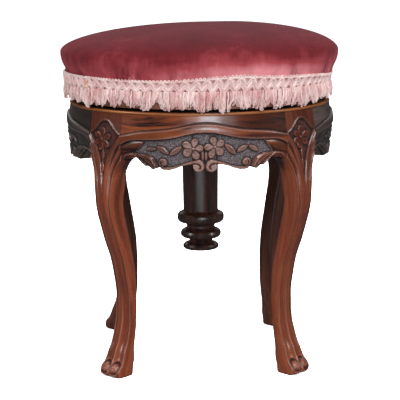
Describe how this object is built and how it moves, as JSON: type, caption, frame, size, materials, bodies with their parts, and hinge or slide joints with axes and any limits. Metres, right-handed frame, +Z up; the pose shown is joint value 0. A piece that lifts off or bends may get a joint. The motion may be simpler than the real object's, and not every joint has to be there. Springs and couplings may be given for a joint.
{
  "type": "revolving piano stool",
  "caption": "Round upholstered stool seat that turns and rises on a threaded spindle, over a carved round base with curved legs and a turned pillar.",
  "frame": {"origin": "on the spindle's axis, at the floor under the four feet", "axes": "+Z up along the spindle's axis, -Y towards the front apron, +X to the right of someone who looks at the front apron"},
  "size_m": [0.388, 0.388, 0.471],
  "materials": {
    "velvet": "short pile velvet",
    "stuffing": "hair and wadding",
    "trimming": "cotton braid and looped fringe",
    "rosewood": "polished",
    "pillar_wood": "polished",
    "bead_wood": "satin",
    "dark_board": "matt stain",
    "hoop_wood": "unpolished",
    "seat_wood": "sawn",
    "iron": "japanned",
    "spindle_steel": "oiled",
    "steel": "dull",
    "leather": "worn"
  },
  "bodies": {
    "base": {"nut_plate": "iron", "nut_plate_screws": "steel", "top_board": "dark_board", "top_board_screws": "steel", "rim_bead": "bead_wood", "apron_front": "rosewood", "apron_right": "rosewood", "apron_back": "rosewood", "apron_left": "rosewood", "leg_front_left": "rosewood", "leg_front_right": "rosewood", "leg_back_right": "rosewood", "leg_back_left": "rosewood", "cross_rail_a": "seat_wood", "cross_rail_b": "seat_wood", "corner_blocks": "seat_wood", "screw_pillar": "pillar_wood"},
    "washer": {"leather_washer": "leather"},
    "seat": {"velvet_cover": "velvet", "stuffing_pad": "stuffing", "seat_board": "seat_wood", "seat_ring": "hoop_wood", "seat_ring_screws": "steel", "cover_tacks": "steel", "braid_band": "trimming", "fringe_skirt": "trimming", "seat_plate": "iron", "seat_plate_screws": "steel", "spindle_collar": "iron", "spindle_screw": "spindle_steel"}
  },
  "joints": [
    {"name": "seat_turn", "type": "hinge", "parent": "base", "child": "washer", "pos_m": [0, 0, 0.365], "axis": [0, 0, 1], "range_deg": [0, 4320]},
    {"name": "seat_rise", "type": "slide", "parent": "washer", "child": "seat", "axis": [0, 0, 1], "range_m": [0, 0.0961]}
  ],
  "couplings": [
    {"joint": "seat_rise", "follows": "seat_turn", "m_per_rad": 0.0012732}
  ]
}
